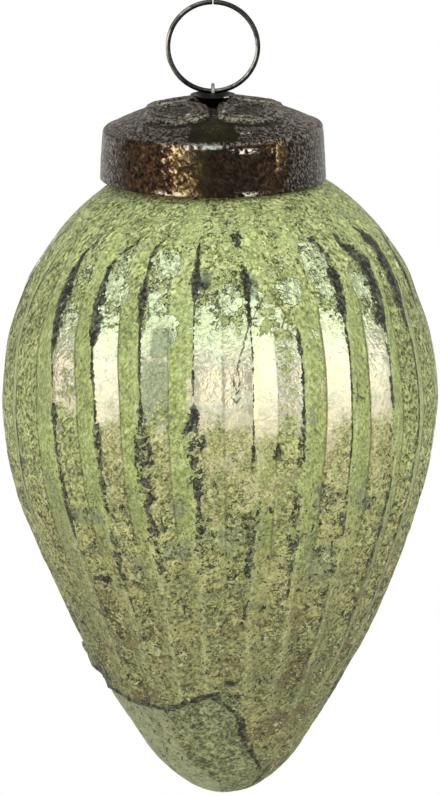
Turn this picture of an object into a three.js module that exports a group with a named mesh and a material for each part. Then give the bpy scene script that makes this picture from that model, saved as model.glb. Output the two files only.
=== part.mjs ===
// A blown-glass Christmas bauble: a fluted glass teardrop, closed by a stamped brass cap and hung by a
// wire ring. The ring runs through the eye of a spring wire, whose two legs pass the cap's collar and
// spread inside the glass neck, and that is what keeps the cap on.
// Millimetres, +Z up. The origin is the inner top of the ring, where a hook or a twig carries it.

import * as THREE from "three";
import { mergeVertices } from "three/addons/utils/BufferGeometryUtils.js";

// Clearances
const seatGap = 0.3; // between pieces that rest on each other
const wireGap = 0.3; // round a wire in an eye, a hole or a bore

// Hanging ring, a round wire bent until its two ends meet at the top
const ringDiameter = 15; // over the wire
const ringWire = 0.8;
const ringEndGap = 0.35;

// Spring wire: an eye round the ring's wire and two legs
const springWire = 0.6;
const eyeNeckDrop = 1.9; // from the eye's centre to where its two sides have closed up
const legEntry = 1.2; // straight stretch of the legs below the collar
const legReach = 3.5; // how far the legs run below the cap's lower edge
const legToe = 0.9; // how far their ends turn back in

// Collar, a flared eyelet in the middle of the cap
const collarRimRadius = 3.65;
const collarRise = 1.1; // from the top of the cap to the rim
const collarWall = 0.35;
const collarFlange = 1.1; // the lip turned over under the cap, beyond the throat
const ringOverRim = 0.05; // what is left under the ring's wire when it is folded flat over the rim

// Cap, stamped from brass sheet
const capWall = 0.5;
const capHeight = 12.4; // lower edge to the top of the dome, without the rosette
const skirtHeight = 7.7;
const shoulderRadius = 17.2; // where the dome turns down into the skirt
const shoulderFillet = 0.9;
const skirtFlare = 0.8; // from there out to the edge of the roll round the skirt's foot
const rollRadius = 0.45;
const domePower = 3; // 2 is a parabola, more is flatter in the middle

// Rosette embossed on the dome: lobes with a double outline
const lobes = 4;
const plainBand = 2.8; // from the tips of the lobes out to the shoulder
const notchRadius = 8; // in to the notches between them
const rosetteRelief = 0.4;
const pitRadius = 3.9; // the plain middle, round the collar
const outlineWidth = 1.7;

// Glass body, blown into a ribbed mould
const glassRadius = 35.1; // over the ridges of the flutes, at the widest
const glassWall = 1;
const upperRise = 40.1; // widest place up to where the shoulder's curve would close on the axis
const upperPower = 1.92;
const lowerDrop = 65.3; // widest place down to the tip
const lowerPower = 1.6;
const lowerTaper = 0.25; // how much narrower than an egg it grows towards the tip
const taperPower = 1.45;
const capOffset = 1.2; // the cap sits this far to one side of the glass's own axis
const neckHeadroom = 2; // from the neck's lip up to the level of the cap's shoulder

// Flutes: straight-sided grooves between sharp ridges
const flutes = 25;
const fluteDepth = 0.95; // at the widest place, less where the body narrows
const firstRidge = -96; // degrees from +X; a ridge lies just left of the front, which is -Y
const fluteTop = 7; // their round upper ends start this far below the cap's lower edge
const fluteArch = 11; // and they are full depth after this much more
const fluteEnd = 87; // they have died out this far below the cap's lower edge
const fluteFade = 13;

// Facets
const ringSteps = 60;
const springSteps = 96;
const capColumns = 64;
const collarColumns = 28;

// Levels that follow from the sizes above
const ringPath = (ringDiameter - ringWire) / 2;
const ringCentre = -(ringDiameter / 2 - ringWire);
const pivot = ringCentre - ringPath; // centre of the ring's wire at its lowest point
const collarRim = pivot - ringWire / 2 - ringOverRim;
const capTop = collarRim - collarRise;
const capEdge = capTop - capHeight; // the skirt's lower edge
const neckLip = capEdge + skirtHeight - neckHeadroom;

// Radii that follow from the sizes above
const eyePath = ringWire / 2 + wireGap + springWire / 2;
const legSpacing = springWire / 2 + wireGap / 2;
const throatRadius = legSpacing + springWire / 2 + wireGap;
const capHole = throatRadius + collarWall + seatGap;
const skirtRadius = shoulderRadius + skirtFlare; // over the rolled lower edge
const skirtSeat = skirtRadius - rollRadius; // the lowest line of the rolled edge
const rosetteRadius = shoulderRadius - plainBand; // out to the tips of the lobes
const neckRadius = shoulderRadius - capWall - capOffset - seatGap;
const boreRadius = neckRadius - glassWall;
const legRadius = boreRadius - capOffset - wireGap - springWire / 2;

const brass = new THREE.MeshStandardMaterial({ color: 0x3b3128, roughness: 0.55, metalness: 0.9 });
const steel = new THREE.MeshStandardMaterial({ color: 0x4a4a4c, roughness: 0.35, metalness: 1 });
const mercuryGlass = new THREE.MeshStandardMaterial({ color: 0xa3ad78, roughness: 0.3, metalness: 0.6 });

const clamp01 = (x) => Math.min(1, Math.max(0, x));
const mix = (a, b, t) => a + (b - a) * t;

// A closed body from rings of points. Each ring is joined to the next, rings may differ in their
// number of points, a ring of one point closes an end, and a torus joins its last ring to its first.
function bodyOfRings(rings, isTorus = false) {
  const position = [];
  const starts = rings.map((ring) => {
    const start = position.length / 3;
    ring.forEach((p) => position.push(p.x, p.y, p.z));
    return start;
  });
  const index = [];
  const last = isTorus ? rings.length : rings.length - 1;
  for (let k = 0; k < last; k++) {
    const next = (k + 1) % rings.length;
    const a = rings[k].length;
    const b = rings[next].length;
    let i = 0;
    let j = 0;
    while (i < a || j < b) {
      const onA = starts[k] + (i % a);
      const onB = starts[next] + (j % b);
      if (j === b || (i < a && (i + 1) / a <= (j + 1) / b)) {
        if (a > 1) index.push(onA, onB, starts[k] + ((i + 1) % a));
        i++;
      } else {
        if (b > 1) index.push(onA, onB, starts[next] + ((j + 1) % b));
        j++;
      }
    }
  }
  const geometry = new THREE.BufferGeometry();
  geometry.setAttribute("position", new THREE.Float32BufferAttribute(position, 3));
  geometry.setIndex(index);
  geometry.computeVertexNormals();
  return geometry;
}

// A round wire along a curve, with flat ends
function wireAlong(path, diameter, steps, sides) {
  const section = new THREE.Shape();
  section.absarc(0, 0, diameter / 2, 0, 2 * Math.PI);
  const geometry = new THREE.ExtrudeGeometry(section, {
    extrudePath: path,
    steps,
    curveSegments: sides / 2,
  });
  geometry.deleteAttribute("normal");
  geometry.deleteAttribute("uv");
  const merged = mergeVertices(geometry, 1e-4);
  merged.computeVertexNormals();
  return merged;
}

// Ring: most of a circle in the XZ plane, open by a narrow gap at the top
class RingPath extends THREE.Curve {
  getPoint(t) {
    const halfGap = ringEndGap / 2 / ringPath;
    const angle = Math.PI / 2 + mix(halfGap, 2 * Math.PI - halfGap, t);
    return new THREE.Vector3(ringPath * Math.cos(angle), 0, ringPath * Math.sin(angle));
  }
}

function hangingRing() {
  const mesh = new THREE.Mesh(wireAlong(new RingPath(), ringWire, ringSteps, 8), steel);
  mesh.name = "hanging_ring";
  mesh.position.z = ringCentre;
  return mesh;
}

// Spring wire, in the YZ plane and measured from the pivot: up one leg, round the eye, down the other
function springClip() {
  const eye = [];
  for (let angle = -20; angle <= 200; angle += 20) {
    const a = THREE.MathUtils.degToRad(angle);
    eye.push(new THREE.Vector3(0, eyePath * Math.cos(a), eyePath * Math.sin(a)));
  }
  const belowCollar = capTop - capWall - seatGap - collarWall - pivot;
  const lip = neckLip - pivot;
  const edge = capEdge - pivot;
  const leg = [
    [legRadius - legToe, edge - legReach],
    [legRadius, edge],
    [legRadius, mix(lip, edge, 0.4)],
    [legRadius * 0.93, lip],
    [legRadius * 0.5, mix(belowCollar - legEntry, lip, 0.65)],
    [legSpacing * 2, belowCollar - legEntry],
    [legSpacing, belowCollar],
    [legSpacing, -eyeNeckDrop],
    [mix(legSpacing, eyePath, 0.55), -eyeNeckDrop * 0.6],
  ];
  const right = leg.map(([y, z]) => new THREE.Vector3(0, y, z));
  const left = leg.map(([y, z]) => new THREE.Vector3(0, -y, z)).reverse();
  const path = new THREE.CatmullRomCurve3([...right, ...eye, ...left], false, "centripetal");
  const mesh = new THREE.Mesh(wireAlong(path, springWire, springSteps, 6), steel);
  mesh.name = "spring_clip";
  mesh.position.z = pivot;
  return mesh;
}

// Level rings of a surface of revolution from [radius, height] pairs
function turned(profile, columns) {
  return profile.map(([r, z]) => {
    const ring = [];
    for (let i = 0; i < columns; i++) {
      const a = (2 * Math.PI * i) / columns;
      ring.push(new THREE.Vector3(r * Math.cos(a), r * Math.sin(a), z));
    }
    return ring;
  });
}

// Collar, measured from the top of the cap: a shallow funnel above, a throat, and a lip turned over below
function capCollar() {
  const seat = seatGap;
  const under = -capWall - seatGap;
  const outer = throatRadius + collarWall;
  const profile = [
    [throatRadius, under - collarWall],
    [throatRadius, seat * 0.5],
    [mix(throatRadius, collarRimRadius, 0.4), mix(seat, collarRise, 0.3)],
    [mix(throatRadius, collarRimRadius, 0.72), mix(seat, collarRise, 0.62)],
    [collarRimRadius - collarWall * 0.5, collarRise],
    [collarRimRadius, collarRise - collarWall * 0.3],
    [mix(outer, collarRimRadius, 0.6), mix(seat, collarRise, 0.3)],
    [mix(outer, collarRimRadius, 0.25), seat],
    [outer, seat],
    [outer, under],
    [outer + collarFlange, under],
    [outer + collarFlange, under - collarWall],
  ];
  const mesh = new THREE.Mesh(bodyOfRings(turned(profile, collarColumns), true), brass);
  mesh.name = "cap_collar";
  mesh.position.z = capTop;
  return mesh;
}

// Height of the plain dome above the skirt's lower edge
function domeHeight(r) {
  return capHeight - (capHeight - skirtHeight) * (r / shoulderRadius) ** domePower;
}

// Radius of the rosette's outline, with a notch towards each axis
function rosetteOutline(angle) {
  const bulge = Math.abs(Math.sin((lobes * angle) / 2)) ** 0.6;
  return mix(notchRadius, rosetteRadius, bulge);
}

// One ring of the dome. radiusAt gives the radius at an angle, lift is how much of the relief stands
// there, and drop lowers the ring, which makes the underside of the sheet.
function domeRing(radiusAt, lift, drop) {
  const ring = [];
  for (let i = 0; i < capColumns; i++) {
    const a = (2 * Math.PI * i) / capColumns;
    const r = radiusAt(a);
    const z = domeHeight(r) + lift * rosetteRelief - drop;
    ring.push(new THREE.Vector3(r * Math.cos(a), r * Math.sin(a), z));
  }
  return ring;
}

// Cap, measured from the skirt's lower edge: dome with rosette, shoulder, skirt, rolled edge, and the
// same again inside the sheet
function stampedCap() {
  const field = (t) => (a) => mix(pitRadius, rosetteOutline(a) - outlineWidth, t);
  const inside = (part) => (a) => rosetteOutline(a) - outlineWidth * part;
  const plain = (r) => () => r;
  const shoulder = shoulderRadius - shoulderFillet;
  const upper = [
    domeRing(plain(capHole), 0, 0),
    domeRing(field(0), 0, 0),
    domeRing(field(0.25), 0.75, 0),
    domeRing(field(0.6), 1, 0),
    domeRing(field(1), 0.85, 0),
    domeRing(inside(0.7), 0.3, 0),
    domeRing(inside(0.35), 0.7, 0),
    domeRing(inside(0), 0, 0),
    domeRing((a) => mix(rosetteOutline(a), shoulder, 0.5), 0, 0),
    domeRing(plain(shoulder), 0, 0),
  ];
  const skirtTop = domeHeight(shoulder) - shoulderFillet;
  const skirt = [];
  for (const degrees of [60, 30, 0]) {
    const a = THREE.MathUtils.degToRad(degrees);
    skirt.push([shoulder + shoulderFillet * Math.cos(a), skirtTop + shoulderFillet * Math.sin(a)]);
  }
  skirt.push([mix(shoulderRadius, skirtSeat, 0.6), rollRadius * 4]);
  for (const degrees of [45, 0, -45, -90, -135, 180]) {
    const a = THREE.MathUtils.degToRad(degrees);
    skirt.push([skirtSeat + rollRadius * Math.cos(a), rollRadius * (1 + Math.sin(a))]);
  }
  skirt.push([mix(shoulderRadius, skirtSeat, 0.6) - capWall, rollRadius * 4]);
  skirt.push([shoulderRadius - capWall, skirtTop]);
  const lower = [
    domeRing(plain(shoulder), 0, capWall),
    domeRing(inside(0), 0, capWall),
    domeRing(field(1), 0.85, capWall),
    domeRing(field(0.5), 1, capWall),
    domeRing(field(0), 0, capWall),
    domeRing(plain(capHole), 0, capWall),
  ];
  const rings = [...upper, ...turned(skirt, capColumns), ...lower];
  const mesh = new THREE.Mesh(bodyOfRings(rings, true), brass);
  mesh.name = "stamped_cap";
  mesh.position.z = capEdge;
  return mesh;
}

// Radius over the ridges, at a height measured up from the widest place
function glassProfile(z) {
  if (z >= 0) return glassRadius * Math.sqrt(1 - clamp01(z / upperRise) ** upperPower);
  const t = clamp01(-z / lowerDrop);
  return glassRadius * Math.sqrt(1 - t ** lowerPower) * (1 - lowerTaper * t ** taperPower);
}

// Height above the widest place at which the shoulder has narrowed to a radius
function shoulderHeight(r) {
  return upperRise * (1 - (r / glassRadius) ** 2) ** (1 / upperPower);
}

// The skirt's rolled edge rests on the shoulder where the cap is pushed furthest towards the neck
const widest = capEdge - seatGap - shoulderHeight(skirtSeat - capOffset);

// How much of the flutes' depth is left at a distance below the cap's lower edge
function fluteGrowth(below) {
  const arch = Math.sqrt(clamp01((below - fluteTop) / fluteArch));
  const fade = Math.sqrt(clamp01((fluteEnd - below) / fluteFade));
  return Math.min(arch, fade);
}

// One ring of the glass at a height above the widest place. perFlute columns span each flute, and inset
// is how far the ring lies inside the outer face.
function glassRing(z, perFlute, inset) {
  const ridge = glassProfile(z);
  const growth = fluteGrowth(capEdge - widest - z);
  const ring = [];
  for (let i = 0; i < flutes * perFlute; i++) {
    const valley = 1 - Math.abs((2 * (i % perFlute)) / perFlute - 1);
    const cut = fluteDepth * (ridge / glassRadius) * Math.max(0, valley - 1 + growth);
    const r = ridge - cut - inset;
    const a = THREE.MathUtils.degToRad(firstRidge) + (2 * Math.PI * i) / (flutes * perFlute);
    ring.push(new THREE.Vector3(r * Math.cos(a), r * Math.sin(a), z));
  }
  return ring;
}

// Glass body, measured from its widest place: neck, shoulder, fluted belly, tip, and the inner face back
// up to the open neck. Columns are close only where the flutes begin and end.
function glassBody() {
  const lip = neckLip - widest;
  const neckFoot = shoulderHeight(neckRadius);
  const level = (below) => capEdge - widest - below;
  const rings = [];
  const neckRing = (r, z) => {
    const ring = [];
    for (let i = 0; i < flutes * 2; i++) {
      const a = THREE.MathUtils.degToRad(firstRidge) + (Math.PI * i) / flutes;
      ring.push(new THREE.Vector3(r * Math.cos(a), r * Math.sin(a), z));
    }
    return ring;
  };
  rings.push(neckRing(boreRadius, lip));
  rings.push(neckRing(neckRadius, lip));
  rings.push(neckRing(neckRadius, neckFoot));
  const shoulderRows = 4;
  for (let k = 1; k <= shoulderRows; k++) {
    rings.push(glassRing(mix(neckFoot, level(fluteTop), k / shoulderRows), 2, 0));
  }
  const archRows = 7;
  for (let k = 1; k <= archRows; k++) {
    rings.push(glassRing(level(fluteTop + fluteArch * (k / archRows) ** 1.5), 4, 0));
  }
  const bellyRows = 14;
  for (let k = 1; k <= bellyRows; k++) {
    rings.push(glassRing(level(mix(fluteTop + fluteArch, fluteEnd - fluteFade, k / bellyRows)), 2, 0));
  }
  const fadeRows = 5;
  for (let k = 1; k <= fadeRows; k++) {
    rings.push(glassRing(level(fluteEnd - fluteFade * (1 - k / fadeRows) ** 1.5), 4, 0));
  }
  const tipRows = 6;
  for (let k = 1; k < tipRows; k++) {
    rings.push(glassRing(mix(level(fluteEnd), -lowerDrop, 1 - (1 - k / tipRows) ** 1.8), 2, 0));
  }
  rings.push([new THREE.Vector3(0, 0, -lowerDrop)]);

  const inner = [];
  const innerRows = 26;
  const innerTop = shoulderHeight(neckRadius) - glassWall;
  for (let k = 0; k < innerRows; k++) {
    const z = mix(innerTop, glassWall - lowerDrop, 1 - (1 - k / innerRows) ** 1.15);
    inner.push(glassRing(z, 2, glassWall));
  }
  rings.push([new THREE.Vector3(0, 0, glassWall - lowerDrop)]);
  rings.push(...inner.reverse());
  const mesh = new THREE.Mesh(bodyOfRings(rings, true), mercuryGlass);
  mesh.name = "glass_body";
  mesh.position.set(capOffset, 0, widest);
  return mesh;
}

const bauble = new THREE.Group();
bauble.add(hangingRing(), springClip(), capCollar(), stampedCap(), glassBody());

export default bauble;
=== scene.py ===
"""Christmas bauble: a worn mercury-glass teardrop with its stamped brass cap and its wires.

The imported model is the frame, and every piece here stands for one of its nodes. Sizes are in
millimetres in the frame's own axes: +Z up, -Y the front, origin at the inner top of the hanging ring.
Azimuths are in degrees from the front, positive towards +X. Depths are measured down from the cap's
lower edge, and levels up from it.
"""
import itertools
import math

import bpy
import numpy as np
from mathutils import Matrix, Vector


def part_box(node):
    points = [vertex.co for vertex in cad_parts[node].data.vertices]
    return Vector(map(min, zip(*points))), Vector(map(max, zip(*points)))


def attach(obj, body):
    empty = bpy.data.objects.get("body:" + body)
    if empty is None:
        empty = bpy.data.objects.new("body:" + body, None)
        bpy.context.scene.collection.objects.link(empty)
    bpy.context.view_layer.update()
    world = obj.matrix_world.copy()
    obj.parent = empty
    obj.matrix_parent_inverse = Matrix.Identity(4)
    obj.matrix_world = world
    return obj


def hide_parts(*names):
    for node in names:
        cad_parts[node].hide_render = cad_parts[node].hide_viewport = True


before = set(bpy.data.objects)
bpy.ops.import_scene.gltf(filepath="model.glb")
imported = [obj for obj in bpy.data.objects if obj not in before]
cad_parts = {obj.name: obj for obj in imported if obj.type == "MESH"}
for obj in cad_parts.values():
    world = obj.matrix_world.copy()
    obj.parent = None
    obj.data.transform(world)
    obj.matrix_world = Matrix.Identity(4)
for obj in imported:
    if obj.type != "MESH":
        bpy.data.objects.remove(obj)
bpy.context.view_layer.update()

MM = 0.001


def box_mm(node):
    """Lowest and highest corner of a node, in millimetres."""
    low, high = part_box(node)
    return np.array(low) / MM, np.array(high) / MM


# Levels and centres, from the frame
glass_low, glass_high = box_mm("glass_body")
cap_low, _ = box_mm("stamped_cap")
ring_low, ring_high = box_mm("hanging_ring")
collar_low, collar_high = box_mm("cap_collar")
clip_low, clip_high = box_mm("spring_clip")
CAP_EDGE = float(cap_low[2])
TIP = float(glass_low[2])
NECK_LIP = float(glass_high[2])


def smooth(value, low, high):
    """0 below low, 1 above high and a soft step between them."""
    t = np.clip((value - low) / (high - low), 0, 1)
    return t * t * (3 - 2 * t)


def hump(value, low, full, end, gone):
    """0 below low and above gone, 1 from full to end."""
    return smooth(value, low, full) * (1 - smooth(value, end, gone))


def value_noise(points, size, seed):
    """Smooth noise from -1 to 1 at points, with features of about the given size."""
    scaled = points / size + 1000.0
    cell = np.floor(scaled).astype(np.uint64)
    t = scaled - np.floor(scaled)
    t = t * t * (3 - 2 * t)
    total = np.zeros(points.shape[:-1])
    for corner in itertools.product((0, 1), repeat=3):
        c = cell + np.array(corner, np.uint64)
        mixed = c[..., 0] * np.uint64(73856093)
        mixed ^= c[..., 1] * np.uint64(19349663)
        mixed ^= c[..., 2] * np.uint64(83492791)
        mixed ^= np.uint64(seed * 2654435761)
        mixed = (mixed ^ (mixed >> np.uint64(13))) * np.uint64(1274126177)
        mixed ^= mixed >> np.uint64(16)
        value = (mixed & np.uint64(0xFFFF)).astype(float) / 32767.5 - 1
        weight = np.prod(np.where(corner, t, 1 - t), axis=-1)
        total += weight * value
    return total


def add_object(name, data):
    obj = bpy.data.objects.new(name, data)
    bpy.context.scene.collection.objects.link(obj)
    return obj


def add_mesh(name, rings, attributes=None, is_torus=False):
    """A smooth-shaded mesh from rings of points in millimetres. In a torus the last ring joins the first."""
    rows, columns = rings.shape[:2]
    points = (rings.reshape(-1, 3) * MM).tolist()
    row, column = np.meshgrid(np.arange(rows if is_torus else rows - 1), np.arange(columns), indexing="ij")
    next_row = (row + 1) % rows
    next_column = (column + 1) % columns
    corners = ((row, column), (row, next_column), (next_row, next_column), (next_row, column))
    faces = np.stack([i * columns + j for i, j in corners], axis=-1).reshape(-1, 4)
    mesh = bpy.data.meshes.new(name)
    mesh.from_pydata(points, [], faces.tolist(), shade_flat=False)
    for key, values in (attributes or {}).items():
        layer = mesh.attributes.new(key, "FLOAT", "POINT")
        layer.data.foreach_set("value", values.astype(np.float32).ravel())
    mesh.validate()
    return add_object(name, mesh)


def turned(profile, columns):
    """Rings of points from a profile of radii and heights turned about Z."""
    angles = 2 * math.pi * np.arange(columns) / columns
    return np.array([[(r * math.cos(b), r * math.sin(b), z) for b in angles] for r, z in profile])


class Value:
    """A number or colour that a node gives. Arithmetic with it adds nodes."""

    def __init__(self, graph, socket):
        self.graph = graph
        self.socket = socket

    def __add__(self, other):
        return self.graph.math("ADD", self, other)

    def __sub__(self, other):
        return self.graph.math("SUBTRACT", self, other)

    def __rsub__(self, other):
        return self.graph.math("SUBTRACT", other, self)

    def __mul__(self, other):
        return self.graph.math("MULTIPLY", self, other)

    def max(self, other):
        return self.graph.math("MAXIMUM", self, other)

    def step(self, low, high, to_low=0.0, to_high=1.0):
        """A soft step between low and high."""
        inputs = {"Value": self, "From Min": low, "From Max": high, "To Min": to_low, "To Max": to_high}
        return self.graph.node("MapRange", inputs, interpolation_type="SMOOTHSTEP")

    def fall(self, low, high):
        """1 below low, 0 above high."""
        return self.step(low, high, 1.0, 0.0)

    def hump(self, low, full, end, gone):
        """0 below low and above gone, 1 from full to end."""
        return self.step(low, full) * self.fall(end, gone)

    def swing(self, size):
        """Noise turned into a value that swings about 0 by about the given size."""
        return (self - 0.5) * (5.0 * size)

    def ramp(self, *stops):
        """The colour at this value between stops, each a position and a colour."""
        node = self.graph.tree.nodes.new("ShaderNodeValToRGB")
        elements = node.color_ramp.elements
        while len(elements) < len(stops):
            elements.new(0.5)
        for element, (position, colour) in zip(elements, stops):
            element.position = position
            element.color = (*colour, 1)
        self.graph.link(self, node.inputs["Fac"])
        return Value(self.graph, node.outputs["Color"])

    def of(self, colour):
        """This many times a colour."""
        return self.graph.vector("SCALE", colour, scale=self)

    def shade(self, factor):
        """This colour made darker or lighter by a factor."""
        return self.graph.vector("SCALE", self, scale=factor)

    def coat(self, share, colour):
        """This colour under a share of another."""
        return self.graph.blend(share, self, colour)


class Graph:
    """A material's node tree. Its helpers add nodes, and give a Value."""

    def __init__(self, name):
        self.material = bpy.data.materials.new(name)
        self.material.use_nodes = True
        self.tree = self.material.node_tree
        self.shader = self.tree.nodes["Principled BSDF"]
        self.mm = self.vector("SCALE", self.node("TexCoord", {}, "Object"), scale=1 / MM)

    def link(self, value, socket):
        if isinstance(value, Value):
            self.tree.links.new(value.socket, socket)
        elif isinstance(value, tuple) and socket.type == "RGBA":
            socket.default_value = (*value, 1)
        else:
            socket.default_value = value

    def finish(self, **values):
        """The material, with the shader's sockets set or linked. Their names have underscores for spaces."""
        for key, value in values.items():
            self.link(value, self.shader.inputs[key.replace("_", " ")])
        return self.material

    def node(self, kind, inputs, output=0, **settings):
        node = self.tree.nodes.new("ShaderNode" + kind)
        for key, value in settings.items():
            setattr(node, key, value)
        for key, value in inputs.items():
            self.link(value, node.inputs[key])
        return Value(self, node.outputs[output])

    def math(self, operation, a, b=0.0, **settings):
        return self.node("Math", {0: a, 1: b}, operation=operation, **settings)

    def vector(self, operation, a, b=(0, 0, 0), output="Vector", scale=1.0):
        return self.node("VectorMath", {0: a, 1: b, 3: scale}, output, operation=operation)

    def distance(self, a, b):
        return self.vector("DISTANCE", a, b, "Value")

    def line_distance(self, point, start, stop):
        """Distance of a point to a straight line between two places in the plane of X and Y."""
        along = (stop[0] - start[0], stop[1] - start[1], 0)
        offset = self.vector("SUBTRACT", point, (*start, 0))
        share = self.vector("DOT_PRODUCT", offset, along, "Value")
        share = self.math("DIVIDE", share, along[0] ** 2 + along[1] ** 2, use_clamp=True)
        return self.distance(offset, share.of(along))

    def flat(self, x, y):
        return self.node("CombineXYZ", {0: x, 1: y})

    def blend(self, share, a, b):
        """Colour a where share is 0, colour b where it is 1."""
        return self.node("Mix", {0: share, 6: a, 7: b}, 2, data_type="RGBA")

    def blend_value(self, share, a, b):
        return self.node("Mix", {0: share, 2: a, 3: b})

    def noise(self, size, detail=2.0, roughness=0.5, vector=None, distortion=0.0, output="Fac"):
        """Noise from 0 to 1 with features of a size in millimetres."""
        inputs = {"Vector": vector or self.mm, "Scale": 1 / size, "Detail": detail}
        inputs.update({"Roughness": roughness, "Distortion": distortion})
        return self.node("TexNoise", inputs, output)

    def chips(self, size, vector):
        """One random number from 0 to 1 for each of scattered cells of a size in millimetres."""
        colour = self.node("TexVoronoi", {"Vector": vector, "Scale": 1 / size}, "Color")
        return self.node("SeparateColor", {0: colour})

    def slanted(self, degrees, stretch):
        """The coordinates, so that what is made with them is stretched along a line leaning to the right."""
        inputs = {"Vector": self.mm, "Rotation": (0, -math.radians(degrees), 0), "Scale": (stretch, 1, 1)}
        return self.node("Mapping", inputs, vector_type="TEXTURE")

    def attributes(self, *names):
        return [self.node("Attribute", {}, "Fac", attribute_name=name) for name in names]

    def place(self):
        """X, Y and Z in millimetres."""
        return [self.node("SeparateXYZ", {0: self.mm}, axis) for axis in range(3)]

    def bump(self, height, distance, strength=1.0):
        """Bumps with a height from 0 to 1 standing for a distance in millimetres."""
        inputs = {"Height": height, "Distance": distance * MM, "Strength": strength}
        return self.node("Bump", inputs, "Normal")


def dim(colour, factor):
    return tuple(factor * c for c in colour)


def give(obj, material, body, node):
    """Finishes a piece: its material, the body it rides on, and the node it stands for, which is hidden."""
    obj.data.materials.append(material)
    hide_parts(node)
    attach(obj, body)


# Camera, as the photograph was taken
CAMERA_ELEVATION = math.radians(12.3)
CAMERA_DISTANCE = 900.0
AIM = np.array([1.12, 0.0, -63.47])
FRAME_HEIGHT = 127.36
SENSOR_HEIGHT = 24.0


def make_camera():
    data = bpy.data.cameras.new("camera")
    data.sensor_fit = "VERTICAL"
    data.sensor_height = SENSOR_HEIGHT
    data.lens = SENSOR_HEIGHT * CAMERA_DISTANCE / FRAME_HEIGHT
    camera = add_object("camera", data)
    back = np.array([0, -math.cos(CAMERA_ELEVATION), math.sin(CAMERA_ELEVATION)])
    camera.location = (AIM + CAMERA_DISTANCE * back) * MM
    camera.rotation_euler = (math.pi / 2 - CAMERA_ELEVATION, 0, 0)
    bpy.context.scene.camera = camera


# Lights: soft panels at a distance in metres that face the bauble. Each has its azimuth and elevation, the
# angles that it fills to each side and up and down, in degrees, its brightness and its colour.
WARM = (1.0, 0.93, 0.85)
COOL = (0.86, 0.97, 0.92)
PANEL_DISTANCE = 1.3
PANELS = (
    ("left_box", -45, 8, 32, 15, 1.43, WARM),
    ("right_box", 47.5, 8, 33.5, 15, 1.42, WARM),
    ("sky", 0, 45, 54, 16, 1.25, COOL),
    ("top", 0, 80, 30, 14, 1.0, COOL),
    ("back_left", -150, 8, 22, 24, 0.5, WARM),
    ("back_right", 150, 8, 22, 24, 0.5, WARM),
)
WORLD_COLOUR = (0.31, 0.31, 0.29, 1)


def make_lights():
    for name, azimuth, elevation, half_width, half_height, radiance, colour in PANELS:
        data = bpy.data.lights.new(name, "AREA")
        data.shape = "RECTANGLE"
        data.size = 2 * PANEL_DISTANCE * math.tan(math.radians(half_width))
        data.size_y = 2 * PANEL_DISTANCE * math.tan(math.radians(half_height))
        data.energy = radiance * math.pi * data.size * data.size_y
        data.color = colour
        light = add_object(name, data)
        a = math.radians(azimuth)
        e = math.radians(elevation)
        direction = np.array([math.sin(a) * math.cos(e), -math.cos(a) * math.cos(e), math.sin(e)])
        light.location = AIM * MM + PANEL_DISTANCE * direction
        light.rotation_euler = (math.pi / 2 - e, 0, a)
        light.visible_camera = False
    world = bpy.data.worlds.new("world")
    bpy.context.scene.world = world
    world.use_nodes = True
    world.node_tree.nodes["Background"].inputs["Color"].default_value = WORLD_COLOUR


# Floor: pale, far below, and white to the camera and in reflections away from the object's shadow. In metres.
FLOOR_LEVEL = -0.42
FLOOR_RADIUS = 14.0
FLOOR_SIDES = 96
FLOOR_COLOUR = (0.80, 0.80, 0.78)
SHADED_RADIUS = 0.35
WHITE_RADIUS = 0.75
BACK_FULL = 1.0


def floor_material():
    graph = Graph("floor_paint")
    x, y, _ = graph.place()
    is_camera, is_glossy, is_transmitted = (
        graph.node("LightPath", {}, f"Is {kind} Ray") for kind in ("Camera", "Glossy", "Transmission")
    )
    is_behind = y.step(0.0, BACK_FULL / MM)
    seen = is_camera.max(is_transmitted).max(is_glossy * is_behind)
    radius = graph.math("SQRT", x * x + y * y)
    whiteness = seen * radius.step(SHADED_RADIUS / MM, WHITE_RADIUS / MM)
    white = graph.node("Emission", {})
    painted = Value(graph, graph.shader.outputs[0])
    mixed = graph.node("MixShader", {0: whiteness, 1: painted, 2: white})
    graph.link(mixed, graph.tree.nodes["Material Output"].inputs[0])
    return graph.finish(Base_Color=FLOOR_COLOUR, Roughness=0.9)


def make_floor():
    mesh = bpy.data.meshes.new("floor")
    turns = [2 * math.pi * k / FLOOR_SIDES for k in range(FLOOR_SIDES)]
    corners = [(FLOOR_RADIUS * math.cos(t), FLOOR_RADIUS * math.sin(t), FLOOR_LEVEL) for t in turns]
    mesh.from_pydata(corners, [], [list(range(FLOOR_SIDES))])
    mesh.materials.append(floor_material())
    add_object("floor", mesh)


# Glass body: its outline over the ridges, about an axis that shifts a little from the belly to the tip
GLASS_AXIS = 1.2
GLASS_RADIUS = 35.0
UPPER_RISE = 40.1
UPPER_POWER = 1.92
LOWER_DROP = 65.3
LOWER_POWER = 1.6
LOWER_TAPER = 0.25
TAPER_POWER = 1.45
WIDEST = TIP + LOWER_DROP
BELLY_SHIFT = -0.15
TIP_SHIFT = 0.5
NECK_RADIUS = 15.2
GLASS_WALL = 1.0
INNER_ROWS = 40
GLASS_SEED = 5
RIDGE_SEED = 11
SOOT_AND_SHADE_SEED = 17

# Unevenness of the outline: rise in millimetres, side (-1 left, 1 right, 0 all round), and the depths at
# which it begins, is full, begins to fade and has gone
BULGES = (
    (0.12, 0, 19, 25, 38, 46),
    (0.50, -1, 38, 46, 50, 60),
    (0.45, 1, 38, 48, 72, 80),
    (-0.35, -1, 58, 66, 78, 84),
    (0.30, -1, 12, 17, 24, 31),
    (0.50, 1, -1, 2, 14, 20),
    (0.60, 0, 88, 95, 200, 201),
)

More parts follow.
